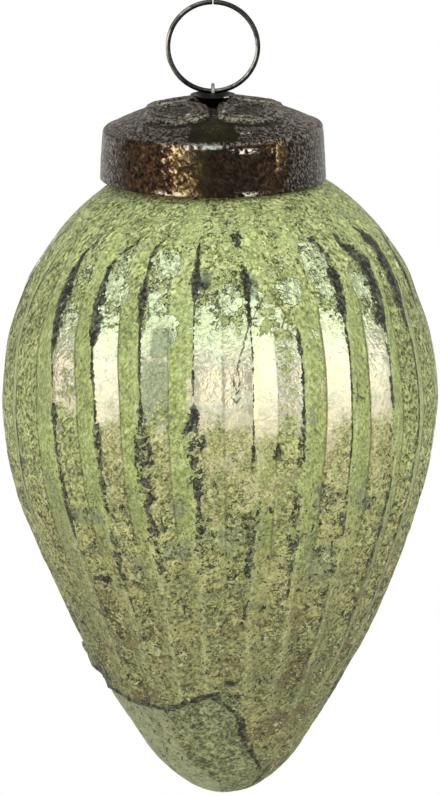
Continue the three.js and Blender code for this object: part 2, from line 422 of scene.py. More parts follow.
# Flutes
FLUTES = 25
FLUTE_DEPTH = 0.95
FLUTE_TOP = 7.0
FLUTE_ARCH = 8.0
FLUTE_END = 87.0
FLUTE_FADE = 13.0
FLUTE_SOFTNESS = 0.05
RIDGE_ROUNDING = 0.045
VALLEY_ROUNDING = 0.06
# Share of half a flute's width at which its columns stand, close together at the ridge and the valley
HALF_FLUTE = (0.0, 0.05, 0.12, 0.21, 0.33, 0.46, 0.59, 0.72, 0.84, 0.94)

# The ridges in view, left to right: azimuth at each of the depths. The others are spaced between the last
# and the first.
RIDGE_DEPTHS = (12, 22, 30, 45, 60)
RIDGES = (
    (-71.5, -70.0, -66.5, -66.0, -66.0),
    (-55.0, -52.0, -48.0, -46.0, -44.5),
    (-39.5, -37.0, -33.5, -32.0, -30.0),
    (-24.5, -22.0, -20.4, -19.7, -16.5),
    (-7.6, -7.0, -6.7, -5.6, -4.5),
    (8.4, 9.0, 8.6, 8.8, 8.0),
    (22.3, 22.5, 22.3, 20.5, 21.5),
    (39.5, 37.6, 36.2, 35.6, 36.0),
    (56.0, 52.8, 50.5, 52.0, 51.5),
    (69.0, 65.0, 64.3, 63.5, 62.0),
)
# Depth at which the flute to the right of each of these ridges begins
FLUTE_TOPS = (8.0, 7.5, 8.0, 5.5, 10.5, 10.0, 6.0, 8.5, 7.0, 6.0)
# Paint left on the left and right flank of that flute, over the belly: 0 bare silver, 1 closed paint
FLANK_FILM = (
    (0.75, 0.8), (0.40, 0.9), (0.1, 0.85), (0.28, 0.8), (0.05, 0.1),
    (0.12, 0.38), (0.72, 0.05), (0.85, 0.12), (0.9, 0.9), (0.9, 0.9),
)
# Depth at which the bare silver of those flanks begins to give way
BARE_FALL = (
    (31, 31), (29, 31), (30, 31), (27, 31), (29, 32),
    (30, 29), (31, 31), (31, 35), (31, 31), (31, 31),
)
# Soot along these ridges: half its width, in millimetres, at depths. Where it follows a flute's arch it is
# painted shade
SOOT_AND_SHADE = (
    ((10, 0.1), (16, 0.35), (24, 0.25), (31, 0.2), (44, 0.3), (52, 0.0)),
    ((8, 0.2), (12, 0.7), (15, 1.5), (21, 1.3), (24, 0.4), (30, 0.2), (33, 0.7), (36, 0.3), (46, 0.5),
     (58, 0.0)),
    ((8, 0.4), (13, 0.6), (15, 1.2), (20, 1.2), (22, 0.35), (31, 0.3), (36, 0.6), (40, 0.35), (58, 0.7),
     (66, 0.0)),
    ((5, 0.4), (8, 0.6), (12, 0.4), (14, 0.8), (17, 0.7), (18, 0.3), (29, 0.25), (37, 1.3), (43, 1.0),
     (47, 0.4), (50, 0.8), (52, 0.3), (61, 0.8), (63, 0.0)),
    ((6, 0.15), (10, 0.5), (12, 0.9), (14, 0.2), (22, 0.15), (25, 0.4), (29, 0.2), (31, 1.2), (35, 1.6),
     (38, 1.0), (42, 0.8), (46, 0.3), (50, 0.7), (62, 1.0), (67, 0.3), (70, 0.0)),
    ((9, 0.0), (11, 0.9), (13, 0.5), (17, 0.4), (18, 0.1), (20, 0.35), (24, 0.3), (25, 0.18), (37, 0.22),
     (41, 0.6), (43, 1.2), (48, 1.1), (50, 0.5), (58, 0.6), (66, 0.4), (70, 0.0)),
    ((18, 0.0), (20, 0.8), (22, 0.8), (23, 0.1), (26, 0.5), (28, 0.15), (32, 0.4), (46, 0.6), (50, 1.0),
     (54, 0.5), (62, 0.2), (70, 0.0)),
    ((7, 0.7), (10, 1.0), (17, 0.8), (19, 0.3), (22, 0.5), (24, 0.18), (44, 0.25), (48, 0.5), (58, 0.55),
     (72, 0.0)),
    ((6, 0.8), (9, 1.4), (18, 1.8), (22, 1.2), (26, 0.3), (31, 0.8), (38, 0.9), (44, 0.4), (53, 0.3),
     (62, 0.9), (72, 0.0)),
    ((6, 0.9), (9, 1.5), (18, 1.7), (21, 0.8), (26, 0.4), (38, 0.3), (40, 0.6), (43, 0.3), (56, 0.5),
     (70, 0.0)),
)
# Ridges in the middle of the view whose soot keeps to the ridge at the top, and how far down it bends in
# others, where it is painted shade in the flute's arch
PLAIN_RIDGES = (4, 5, 6)
BEND = 3.2
# Depths between which a ridge's left edge is rubbed bare
RUBBED = ((4, 24.5, 31.5), (6, 21.0, 36.0))

# Patches, each with its azimuth, depth, half width and half height in millimetres. Spots worn down to the
# silver near the tops of the flutes:
WORN = (
    (-33.9, 9.9, 1.1, 1.9), (-17.6, 9.4, 2.1, 2.3), (-32.7, 13.9, 1.9, 2.4), (-18.8, 14.9, 1.8, 1.9),
    (-16.8, 18.6, 3.2, 2.6), (3.4, 13.4, 2.0, 2.0), (34.5, 9.5, 2.3, 4.0), (21.9, 12.9, 2.6, 2.2),
    (48.6, 13.6, 1.8, 2.4),
)
# Square ones lower down, where the glass shows grey-green:
WINDOWS = (
    (31.0, 56.7, 2.5, 4.6), (30.4, 45.0, 2.9, 3.0), (43.7, 46.4, 3.3, 3.3), (-11.7, 46.1, 1.5, 2.0),
    (-12.5, 53.4, 2.7, 2.2), (-39.2, 48.9, 3.4, 2.2), (3.0, 51.0, 2.6, 2.4), (-25.0, 57.0, 1.8, 3.0),
)
# Grey haze where the paint is thin:
HAZE = ((-5.8, 11.2, 1.9, 2.0), (10.0, 12.0, 1.4, 2.6))
# Painted dark reflections, smooth and grey-green, over the silver:
DARK_REFLECTION_PATCHES = ((-16.5, 28.0, 3.2, 6.0), (-16.5, 20.5, 1.8, 2.5), (24.5, 30.0, 1.6, 7.0))
# Single blots of soot, and how many more there are out of view:
BLOTS = (
    (6.4, 5.4, 1.2, 1.3), (-4.9, 12.0, 1.0, 0.9), (15.0, 37.1, 0.95, 1.5), (-39.5, 60.0, 1.9, 0.8),
    (-15.4, 36.6, 0.6, 0.5), (-17.4, 44.8, 0.8, 0.6), (-15.3, 49.8, 0.45, 0.9), (-12.0, 52.5, 0.6, 0.5),
    (33.0, 45.0, 0.8, 0.5), (28.0, 9.0, 0.5, 0.7), (4.0, 77.0, 1.6, 1.0), (14.0, 88.5, 1.0, 2.2),
    (40.0, 95.5, 0.8, 1.6), (-40.0, 82.0, 1.4, 0.7), (76.0, 82.0, 3.0, 4.0), (-68.0, 79.0, 3.0, 3.2),
)
HIDDEN_BLOTS = 40
# Cracks in the silver of the middle flutes and a few others: x from the frame's axis and depth of their
# points, and a distance that is beyond all of them
CRACK_REACH = 10.0
CRACKS = (
    ((7.6, 14.0), (5.3, 17.9), (5.1, 19.4), (3.7, 24.0), (4.2, 26.3), (3.6, 28.1)),
    ((3.3, 25.1), (3.1, 26.1), (3.6, 26.9)),
    ((3.0, 28.2), (3.7, 29.1), (4.4, 28.4)),
    ((9.6, 14.5), (11.4, 16.4), (10.4, 18.4)),
    ((21.6, 28.7), (23.6, 30.3)),
    ((22.5, 27.6), (22.3, 30.3)),
    ((-20.1, 65.1), (-14.5, 68.1)),
    ((-2.8, 6.2), (-2.0, 9.1)),
)
# The two faces at the tip where the crust has broken away: azimuths of their edges at depths, and the
# depths of their upper edge at azimuths
CHIP_DEPTHS = (80, 83, 87, 92, 98)
CHIP_MIDDLE = (-28, -28, -25, -26, -3)
CHIP_RIGHT = (-5, 6, 10, 21, 45)
CHIP_TOP_AZIMUTHS = (-80, -50, -28, -5)
CHIP_TOP = (80.5, 82.6, 83.2, 79.6)
CHIP_LEFT = -105
CHIP_RECESS = 0.38
# The flake that stands up beside them
FLAKE = (-68.0, 79.8, 11.0, 4.5)
FLAKE_RISE = 0.8


def glass_profile(z):
    """Radius over the ridges at heights above the widest place."""
    upper = GLASS_RADIUS * np.sqrt(1 - np.clip(z / UPPER_RISE, 0, 1) ** UPPER_POWER)
    t = np.clip(-z / LOWER_DROP, 0, 1)
    lower = GLASS_RADIUS * np.sqrt(1 - t**LOWER_POWER) * (1 - LOWER_TAPER * t**TAPER_POWER)
    return np.where(z >= 0, upper, lower)


NECK_FOOT = UPPER_RISE * (1 - (NECK_RADIUS / GLASS_RADIUS) ** 2) ** (1 / UPPER_POWER)


def glass_levels():
    """Depths of the outer rows, from the neck's foot to the tip, close together where the flutes begin."""
    arch_end = FLUTE_TOP + FLUTE_ARCH + 4
    fade_start = FLUTE_END - FLUTE_FADE
    end = CAP_EDGE - TIP - 3
    stretches = (
        (CAP_EDGE - WIDEST - NECK_FOOT, FLUTE_TOP - 2, 18),
        (FLUTE_TOP - 2, arch_end, 52),
        (arch_end, fade_start, 120),
        (fade_start, end, 64),
    )
    rows = [np.linspace(start, stop, count, endpoint=False) for start, stop, count in stretches]
    return np.concatenate(rows + [end + 3 * np.sin(np.linspace(0, math.pi / 2, 16))])


def ridge_lines(depth):
    """Azimuth of every ridge at every depth, with the first ridge once more at the end."""
    random = np.random.default_rng(RIDGE_SEED)
    spread = np.linspace(-5, 5, 11)
    lines = [np.mean([np.interp(depth + s, RIDGE_DEPTHS, line) for s in spread], axis=0) for line in RIDGES]
    first = lines[0] + 360
    last = lines[-1]
    hidden = FLUTES - len(RIDGES)
    for n in range(1, hidden + 1):
        offset = random.uniform(-0.8, 0.8)
        sway = offset + 0.6 * np.sin(depth / random.uniform(9, 16) + random.uniform(0, 6))
        lines.append(last + (first - last) * n / (hidden + 1) + sway)
    return np.array(lines + [first])


def groove(share):
    """Depth of a straight-sided groove from 0 at the ridge to 1 at the valley, both slightly rounded."""
    ridge = RIDGE_ROUNDING * (np.exp(-share / RIDGE_ROUNDING) - 1)
    valley = VALLEY_ROUNDING * np.exp(-(1 - share) / VALLEY_ROUNDING)
    return share + ridge - valley


def soot_and_shade_widths(depth):
    """Half width of the soot along every ridge at every depth."""
    random = np.random.default_rng(SOOT_AND_SHADE_SEED)
    widths = [np.interp(depth, *zip(*line)) for line in SOOT_AND_SHADE]
    for n in range(FLUTES - len(SOOT_AND_SHADE)):
        line = SOOT_AND_SHADE[random.integers(len(SOOT_AND_SHADE))]
        shift = random.uniform(-3, 3)
        widths.append(np.interp(depth + shift, *zip(*line)) * random.uniform(0.6, 1.0))
    widths = np.array(widths) * smooth(depth, 4.5, 7) * (1 + 0.5 * smooth(depth, 31, 36))
    return widths * (1.3 - 0.3 * smooth(depth, 12, 20))


def arch_shade_shifts(depth, lines, tops):
    """How far to the right of every ridge its soot lies where it follows the round top of a flute, as painted
    shade.

    It follows the flute that lies towards the middle of the view, or to the right of a hidden ridge.
    """
    shifts = []
    for ridge in range(FLUTES):
        is_right = len(RIDGES) / 2 <= ridge < len(RIDGES)
        flute = ridge - 1 if is_right else ridge
        width = np.radians(lines[flute + 1] - lines[flute]) * glass_profile(CAP_EDGE - WIDEST - depth)
        arch = np.sqrt(np.clip((depth - tops[flute] + 1) / BEND, 0, 1))
        is_bent = ridge not in PLAIN_RIDGES
        shifts.append(is_bent * (1 - arch) * width / 2 * (-1 if is_right else 1))
    return np.array(shifts)


class GlassSkin:
    """The outer face of the glass, as rows by columns. Each column keeps to its place across one flute."""

    def __init__(self):
        self.random = np.random.default_rng(GLASS_SEED)
        shares = np.array([*HALF_FLUTE, 1.0, *HALF_FLUTE[:0:-1]])
        is_first = np.arange(len(shares)) <= len(HALF_FLUTE)
        across = np.tile(np.where(is_first, shares / 2, 1 - shares / 2), FLUTES)
        self.share = np.tile(shares, FLUTES)
        self.side = np.tile(np.where(is_first, 1, -1), FLUTES)
        self.flute = np.repeat(np.arange(FLUTES), len(shares))
        self.depth = glass_levels()[:, None]
        self.z = CAP_EDGE - WIDEST - self.depth
        self.lines = ridge_lines(self.depth[:, 0])
        left = self.lines[self.flute].T
        span = self.lines[self.flute + 1].T - left
        self.azimuth = left + span * across
        angle = np.radians(self.azimuth)
        self.direction = np.stack([np.sin(angle), -np.cos(angle), np.zeros_like(angle)], axis=-1)
        self.radius = glass_profile(self.z) * np.ones(angle.shape)
        self.cut_flutes()
        self.width = np.radians(span) * self.radius
        self.ridge_distance = self.share * self.side * self.width / 2
        self.points = self.radius[..., None] * self.direction
        self.points[..., 2] = WIDEST + self.z
        self.is_belly = hump(self.depth, 10, 20, 36, 46)
        self.break_tip()
        self.wear_surface()

    def cut_flutes(self):
        """Flutes that begin in round arches and fade out above the tip."""
        self.tops = self.random.uniform(6.0, 10.0, FLUTES)
        self.tops[: len(FLUTE_TOPS)] = FLUTE_TOPS
        end = FLUTE_END + self.random.uniform(-4.0, 3.0, FLUTES)[self.flute]
        arch = np.sqrt(np.clip((self.depth - self.tops[self.flute]) / FLUTE_ARCH, 0, 1))
        fade = np.sqrt(np.clip((end - self.depth) / FLUTE_FADE, 0, 1))
        self.growth = np.minimum(arch, fade)
        level = groove(self.share) - 1 + self.growth
        cut = 0.5 * (level + np.sqrt(level**2 + FLUTE_SOFTNESS**2)) * (self.growth > 0)
        self.radius -= FLUTE_DEPTH * self.radius / GLASS_RADIUS * cut

    def patches(self, spots, power=2):
        """1 in the middle of a patch, 0 at its rim and below 0 outside. It is squarer with a higher power."""
        found = []
        for at_azimuth, at_depth, half_width, half_height in spots:
            across = (self.azimuth - at_azimuth + 180) % 360 - 180
            across = np.abs(np.radians(across) * self.radius / half_width)
            down = np.abs((self.depth - at_depth) / half_height)
            found.append(1 - (across**power + down**power) ** (1 / power))
        return np.max(found, axis=0)

    def break_tip(self):
        """The two broken faces, the flake beside them and the sooty edge of the crust above them."""
        jitter = value_noise(self.points, 2.2, 8) + 0.5 * value_noise(self.points, 0.9, 9)
        azimuth = self.azimuth + 2.0 * jitter
        folded = (azimuth + 180) % 360 - 180
        depth = self.depth + 0.5 * jitter
        middle = np.interp(depth, CHIP_DEPTHS, CHIP_MIDDLE)
        right = np.interp(depth, CHIP_DEPTHS, CHIP_RIGHT)
        top = np.interp(azimuth, CHIP_TOP_AZIMUTHS, CHIP_TOP)
        is_low = smooth(depth, top, top + 0.6)
        self.left_face = is_low * smooth(middle - folded, 0, 2) * smooth(folded, CHIP_LEFT - 6, CHIP_LEFT)
        self.right_face = is_low * smooth(folded - middle, 0, 2) * smooth(right - folded, 0, 2)
        self.flake = smooth(self.patches([FLAKE]) + 0.35 * jitter, 0.0, 0.15) * (1 - is_low)
        rim = is_low + (1 - is_low) * smooth(self.depth, top - 1.6, top - 0.6)
        rim = rim * smooth(azimuth, CHIP_LEFT, CHIP_LEFT + 6)
        rim *= 1 - smooth(np.maximum(self.left_face, self.right_face), 0.2, 0.8)
        is_near = (np.abs(right - folded) < 5) | (self.depth < top + 1)
        self.rim = rim * (is_near & (folded < right + 4))

    def wear_surface(self):
        """Moves the points out and in along the outline's bulges, the crust, the chips and the bent axis."""
        wobble = value_noise(self.points, 14.0, 3) + 0.5 * value_noise(self.points, 6.0, 4)
        crust = value_noise(self.points, 1.6, 5) + 0.6 * value_noise(self.points, 0.8, 6)
        roughness = 0.075 - 0.06 * self.is_belly
        outward = -0.06 * (1.0 + wobble) - roughness * (1.0 + crust)
        for rise, side, *reach in BULGES:
            share = (1 + side * self.direction[..., 0]) / (1 + abs(side))
            outward += rise * share * hump(self.depth, *reach)
        outward += FLAKE_RISE * self.flake * (0.7 + 0.3 * crust)
        outward -= CHIP_RECESS * (self.left_face + self.right_face)
        outward *= smooth(self.radius, 0.5, 6)
        self.points += outward[..., None] * self.direction
        t = np.clip(-self.z / LOWER_DROP, 0, 1)
        self.points[..., 0] += GLASS_AXIS + BELLY_SHIFT + (TIP_SHIFT - BELLY_SHIFT) * t**2

    def at_ridge(self, values):
        """For each column, the row of values that belongs to its nearer ridge."""
        return np.where(self.side > 0, values[self.flute].T, values[(self.flute + 1) % FLUTES].T)

    def soot_and_shade(self):
        """Above 0 where soot lies: along the ridges, in blots and at the broken edge, and as painted shade in
        the flutes' arches.
        """
        half_width = self.at_ridge(soot_and_shade_widths(self.depth[:, 0]))
        shift = self.at_ridge(arch_shade_shifts(self.depth[:, 0], self.lines, self.tops))
        soot_and_shade = (half_width - np.abs(self.ridge_distance - shift)) / (0.12 + 0.5 * half_width)
        soot_and_shade[half_width < 0.02] = -2
        is_loose = smooth(half_width, 0.35, 0.55) * smooth(self.depth, 31, 34)
        soot_and_shade = np.minimum(soot_and_shade, 1.1 - 0.60 * is_loose)
        soot_and_shade -= 0.25 * smooth(self.depth, 50, 64)
        soot_and_shade -= 0.45 * smooth(value_noise(self.points, 7.0, 43), 0.05, 0.55)
        uniform = self.random.uniform
        spots = list(BLOTS)
        for _ in range(HIDDEN_BLOTS):
            place = uniform(85, 275)
            size = uniform(0.4, 1.3)
            spots.append((place, uniform(4, 92), size, size * uniform(0.6, 1.5)))
        soot_and_shade = np.maximum(soot_and_shade, 1.5 * self.patches(spots))
        return np.clip(np.maximum(soot_and_shade, 2.8 * self.rim - 2), -2, 1.5)

    def flanks(self):
        """For each column, the paint left on its flank and the depth at which its silver gives way."""
        films = self.random.uniform(0.05, 0.95, (FLUTES, 2))
        films[: len(FLANK_FILM)] = FLANK_FILM
        films[[len(FLANK_FILM), -1]] = 0.9
        falls = self.random.uniform(29, 35, (FLUTES, 2))
        falls[: len(BARE_FALL)] = BARE_FALL
        flank = np.where(self.side > 0, 0, 1)
        return films[self.flute, flank], falls[self.flute, flank]

    def attributes(self):
        """What the material needs to know at every point."""
        depth = self.depth
        soot_and_shade = self.soot_and_shade()
        flank, fall = self.flanks()
        top = self.tops[self.flute]
        fall = fall + 2.5 * value_noise(self.points, 5.0, 41) + 1.5 * value_noise(self.points, 2.0, 42)
        bare = (1 - flank) * (0.6 * smooth(depth, top + 0.5, top + 3.5) + 0.4 * smooth(depth, 16, 21))
        bare = bare * (1 - 0.42 * smooth(depth, fall, fall + 6)) * (1 - 0.9 * smooth(depth, 42, 58))
        film = 1 - np.maximum(bare, 0)
        film = np.minimum(film, 1 - 0.95 * smooth(self.patches(WORN, 3), -0.1, 0.35))
        for ridge, start, stop in RUBBED:
            is_edge = (self.flute == ridge - 1) & (self.side < 0) & (self.ridge_distance > -1.0)
            film = np.where(is_edge, film * (1 - hump(depth, start, start + 2, stop - 2, stop)), film)
        is_away = np.where(self.direction[..., 0] * self.side > 0, 1.0, 0.0)
        # Painted highlight: a pale line beside each ridge, on the flank that faces away from the view's
        # middle
        ridge_highlight = np.exp(-(((np.abs(self.ridge_distance) - 0.75) / 0.4) ** 2)) * is_away * self.growth
        return {
            "film": film,
            "flank": flank,
            "soot_and_shade": soot_and_shade,
            "crackle": 1 - 0.85 * bare * self.is_belly,
            "ridge_highlight": ridge_highlight,
            "haze": smooth(self.patches(HAZE), -0.1, 0.6),
            "dark_reflection": smooth(self.patches(DARK_REFLECTION_PATCHES, 4), -0.1, 0.4),
            "pane": smooth(self.patches(WINDOWS, 5), -0.1, 0.5),
            "away": is_away,
            "valley": np.minimum((1 - self.share) * self.width / 2, 2.0),
            "left_face": self.left_face,
            "right_face": self.right_face,
            "inside": 1 - smooth(depth, -4.0, -2.5),
        }


def make_glass():
    """The skin, with the neck and the inner face before it."""
    skin = GlassSkin()
    direction = skin.direction[0]
    inner_z = np.linspace(NECK_FOOT - GLASS_WALL, GLASS_WALL - LOWER_DROP, INNER_ROWS)
    inner_radius = np.maximum(glass_profile(inner_z) - FLUTE_DEPTH - GLASS_WALL, 0.02)
    inner = inner_radius[:, None, None] * direction
    inner[..., 0] += GLASS_AXIS
    inner[..., 2] = (WIDEST + inner_z)[:, None]
    lip_centre = np.array([GLASS_AXIS, 0, NECK_LIP])
    lip = lip_centre + NECK_RADIUS * direction
    bore = lip_centre + (NECK_RADIUS - GLASS_WALL) * direction
    neck = [bore, lip - 0.12 * direction, lip - [0, 0, 0.2], skin.points[0] + [0, 0, 0.3]]
    rings = np.concatenate([inner[::-1], neck, skin.points])
    attributes = {}
    for key, values in skin.attributes().items():
        fill = 1.0 if key in ("film", "crackle", "inside") else 0.0
        hidden = np.full((INNER_ROWS + len(neck), len(skin.flute)), fill)
        attributes[key] = np.concatenate([hidden, values * np.ones(skin.azimuth.shape)])[::-1]
    return add_mesh("glass_body_blown", rings[::-1], attributes)


# Linear colours of the glass
SAGE = (0.455, 0.51, 0.165)
SAGE_PALE = (0.76, 0.80, 0.42)
SAGE_DARK = (0.085, 0.095, 0.03)
SMOOTH_GREEN = (0.42, 0.50, 0.20)
CURL_DARK = (0.045, 0.055, 0.022)
OLIVE = (0.42, 0.425, 0.15)
OLIVE_PALE = (0.70, 0.66, 0.31)
OLIVE_DARK = (0.065, 0.055, 0.022)
MOSS = (0.31, 0.36, 0.16)
STRAW = (0.66, 0.60, 0.27)
BROWN = (0.16, 0.12, 0.045)
SILVER = (0.86, 0.86, 0.68)
SILVER_MINT = (0.83, 0.94, 0.60)
SILVER_CREAM = (0.86, 0.80, 0.58)
BEIGE_DARK = (0.24, 0.235, 0.10)
BEIGE = (0.58, 0.565, 0.26)
BEIGE_PALE = (0.80, 0.77, 0.42)
GLAZE_DARK = (0.12, 0.14, 0.07)
GLAZE = (0.28, 0.31, 0.155)
GLAZE_PALE = (0.50, 0.53, 0.30)
DARK_REFLECTION_GREEN = (0.34, 0.40, 0.24)
HAZE_GREY = (0.27, 0.33, 0.22)
LINING = (0.30, 0.31, 0.25)
SOOT_AND_SHADE_DARK = (0.012, 0.010, 0.008)
SOOT_AND_SHADE_MIDDLE = (0.040, 0.042, 0.026)
SOOT_AND_SHADE_GREY = (0.17, 0.18, 0.11)
LEFT_FACE_DARK = (0.26, 0.27, 0.13)
LEFT_FACE_PALE = (0.46, 0.48, 0.26)
RIGHT_FACE_DARK = (0.09, 0.095, 0.04)
RIGHT_FACE = (0.26, 0.28, 0.12)
RIGHT_FACE_PALE = (0.46, 0.48, 0.24)
# Painted light and shade: tints of the flanks that face the view's middle and of those that face away, high
# up and low down
FACING_PAINTED_LIGHT = ((0.94, 0.92, 0.90), (1.12, 1.13, 1.12))
AWAY_PAINTED_LIGHT = ((1.0, 1.04, 0.98), (0.93, 1.02, 0.92))
GLASS_BUMP = 0.44


def glass_material():
    """Silver under worn green paint that turns olive lower down, with soot in and along the ridges and
    painted shade in the flutes' arches.
    """
    graph = Graph("worn_mercury_glass")
    noise = graph.noise
    x, y, z = graph.place()
    depth = CAP_EDGE - z
    film, flank, crackle, away, pane = graph.attributes("film", "flank", "crackle", "away", "pane")
    left_face, right_face, inside = graph.attributes("left_face", "right_face", "inside")
    haze, dark_reflection, ridge_highlight, valley, soot_and_shade_field = graph.attributes("haze", "dark_reflection", "ridge_highlight", "valley", "soot_and_shade")
    broad = noise(6.0, 2)
    patch = noise(2.4, 3, 0.6)
    flaky = noise(1.0, 3, 0.6, distortion=0.6)
    curl = noise(1.5, 3, 0.5, distortion=1.2)
    marks = noise(1.15, 2, 0.6, distortion=1.8)
    leaning = (x + broad.swing(9.0)).step(2.0, 12.0)
    right_strokes = noise(0.50, 1, 0.6, graph.slanted(52, 1.8))
    left_strokes = noise(0.50, 1, 0.6, graph.slanted(-58, 1.6))
    strokes = graph.blend_value(leaning, right_strokes, left_strokes)
    fluted = depth.step(10.0, 18.0) * depth.step(48.0, 62.0, 1.0, 0.15)
    plain = (away * 0.5 * fluted).max(patch.step(0.54, 0.62, 0.0, 0.5)).max(pane * 0.6)
    grain = graph.blend_value(plain, strokes, 0.5)
    grain = (grain - 0.5) * depth.step(30.0, 50.0, 1.0, 0.8) + 0.5

    # Cover of the paint, torn along its edges and broken into chips at the tops of the flutes
    shift = graph.vector("SUBTRACT", noise(1.2, 1.0, output="Color"), (0.5, 0.5, 0.5))
    chip = graph.chips(1.5, graph.vector("ADD", graph.mm, shift.shade(1.3)))
    cover = film + patch.swing(0.24) + flaky.swing(0.18) + grain.swing(0.05)
    cover = cover + (chip - 0.5) * (depth.step(20.0, 25.0, 1.0, 0.35) * 0.40)
    outline = cover.hump(0.40, 0.46, 0.50, 0.58) * flaky.step(0.40, 0.50) * depth.fall(17.0, 22.0)
    cover = cover.step(0.46, 0.54)

    # Curled flakes: steps in the paint, with painted shade under their lip and a painted highlight on it
    flake = graph.math("FRACT", curl * 6.0 + flaky * 1.2)
    broken = (patch + flaky * 0.7 + depth.step(14.0, 24.0, 0.07, 0.0)).step(0.80, 0.92)
    broken = broken * crackle * away.step(0.0, 1.0, 1.0, 0.45)
    lip_shade = flake.fall(0.14, 0.30) * broken
    lip_highlight = flake.step(0.72, 0.92) * broken

    # Green paint above and on the painted flanks, olive below and between them
    lower = (depth - flank * 9.0 + broad.swing(5.0) + patch.swing(3.0)).step(28.0, 45.0)
    green = grain.ramp((0.33, SAGE_DARK), (0.48, SAGE), (0.61, SAGE_PALE))
    still = (patch + broad.swing(0.3)).step(0.50, 0.60) * depth.step(16.0, 28.0, 0.65, 0.2)
    green = green.coat(still, SMOOTH_GREEN)
    region = noise(4.5, 3, 0.6, distortion=0.5)
    mossy = region.step(0.40, 0.47, 0.65, 0.0) * depth.step(36.0, 46.0)
    straw = region.step(0.53, 0.62, 0.0, 0.6) * depth.step(34.0, 44.0) * marks.step(0.42, 0.55)
    olive = grain.ramp((0.33, OLIVE_DARK), (0.48, OLIVE), (0.61, OLIVE_PALE))
    olive = olive.coat(mossy, strokes.step(0.35, 0.65, 0.75, 1.25).of(MOSS)).coat(straw, STRAW)
    paint = green.coat(lower, olive)
    paint = paint.shade(broad.step(0.35, 0.65, 0.86, 1.10)).shade(flaky.step(0.30, 0.66, 0.72, 1.16))
    # Painted light: the flanks that face the view's middle and those that face away are tinted lighter or
    # darker
    sunk = depth.step(28.0, 44.0)
    flank_light = graph.blend(sunk, *FACING_PAINTED_LIGHT).coat(away, graph.blend(sunk, *AWAY_PAINTED_LIGHT))
    paint = paint.coat(fluted, graph.vector("MULTIPLY", paint, flank_light))
    # Painted light: the paint lighter over the shoulder than below it
    paint = paint.shade(depth.step(1.0, 6.0, 1.12, 1.26) * depth.step(12.0, 20.0, 1.0, 0.80))
    glazed = (pane + patch.swing(0.35) + flaky.swing(0.15)).step(0.35, 0.75) * pane.step(0.0, 0.3)
    glaze = grain.ramp((0.36, GLAZE_DARK), (0.48, GLAZE), (0.62, GLAZE_PALE))
    paint = paint.coat(glazed * 0.85, glaze)

    # Silver: mint near the tops, bright over the belly, beige below, with painted dark reflections in places
    silver = graph.blend((patch + broad.swing(0.1)).step(0.40, 0.6), SILVER_CREAM, SILVER)
    # Silver darker where more paint film is left: partly tarnish, partly a painted dark reflection
    silver = silver.shade(flank.step(0.0, 1.0, 1.0, 0.55))
    silver = graph.blend(depth.step(17.0, 24.0), SILVER_MINT, silver)
    hatch = noise(0.30, 2, 0.6, graph.slanted(40, 1.6))
    beige = (hatch * 0.6 + flaky * 0.4).ramp((0.38, BEIGE_DARK), (0.50, BEIGE), (0.60, BEIGE_PALE))
    beige = beige.coat(flank.step(0.2, 0.6), glaze)
    uneven = depth + broad.swing(3.0) + patch.swing(2.5)
    below = uneven.step(30.0, 38.0)
    # Painted dark reflections over the silver, which also take away some of its shine
    dark_reflected = (dark_reflection + patch.swing(0.3)).step(0.2, 0.7) * dark_reflection.step(0.0, 0.2)
    silver = silver.coat(below, beige).coat(dark_reflected * 0.85, DARK_REFLECTION_GREEN)
    silver = silver.shade(flaky.step(0.3, 0.7, 0.86, 1.06))

    # Soot, with painted shade where it follows the flutes' arches, and cracks
    soot_and_shade = (soot_and_shade_field + patch.swing(0.40) + flaky.swing(0.55) + strokes.swing(0.45)).step(0.34, 0.52)
    specks = (flaky.swing(1.0) + strokes.swing(0.5) + lower * 0.34).step(0.94, 1.06)
    soot_and_shade = soot_and_shade.max(specks * crackle)
    soot_and_shade_tone = curl * 0.4 + strokes * 0.6
    front = graph.vector("ADD", graph.flat(x, depth), shift.shade(0.9))
    nearest = CRACK_REACH
    for line in CRACKS:
        for start, stop in zip(line[:-1], line[1:]):
            nearest = graph.math("MINIMUM", nearest, graph.line_distance(front, start, stop))
    crack = nearest.fall(0.10, 0.22) * y.fall(-8.0, -4.0)

    cluster = (patch + broad.swing(0.2)).step(0.40, 0.56, 0.35, 1.0) * crackle
    cluster = cluster * away.step(0.0, 1.0, 1.0, 0.5)
    hazy = (haze + flaky.swing(0.25)).step(0.35, 0.6) * haze.step(0.0, 0.2)
    face_tone = curl * 0.45 + strokes * 0.55
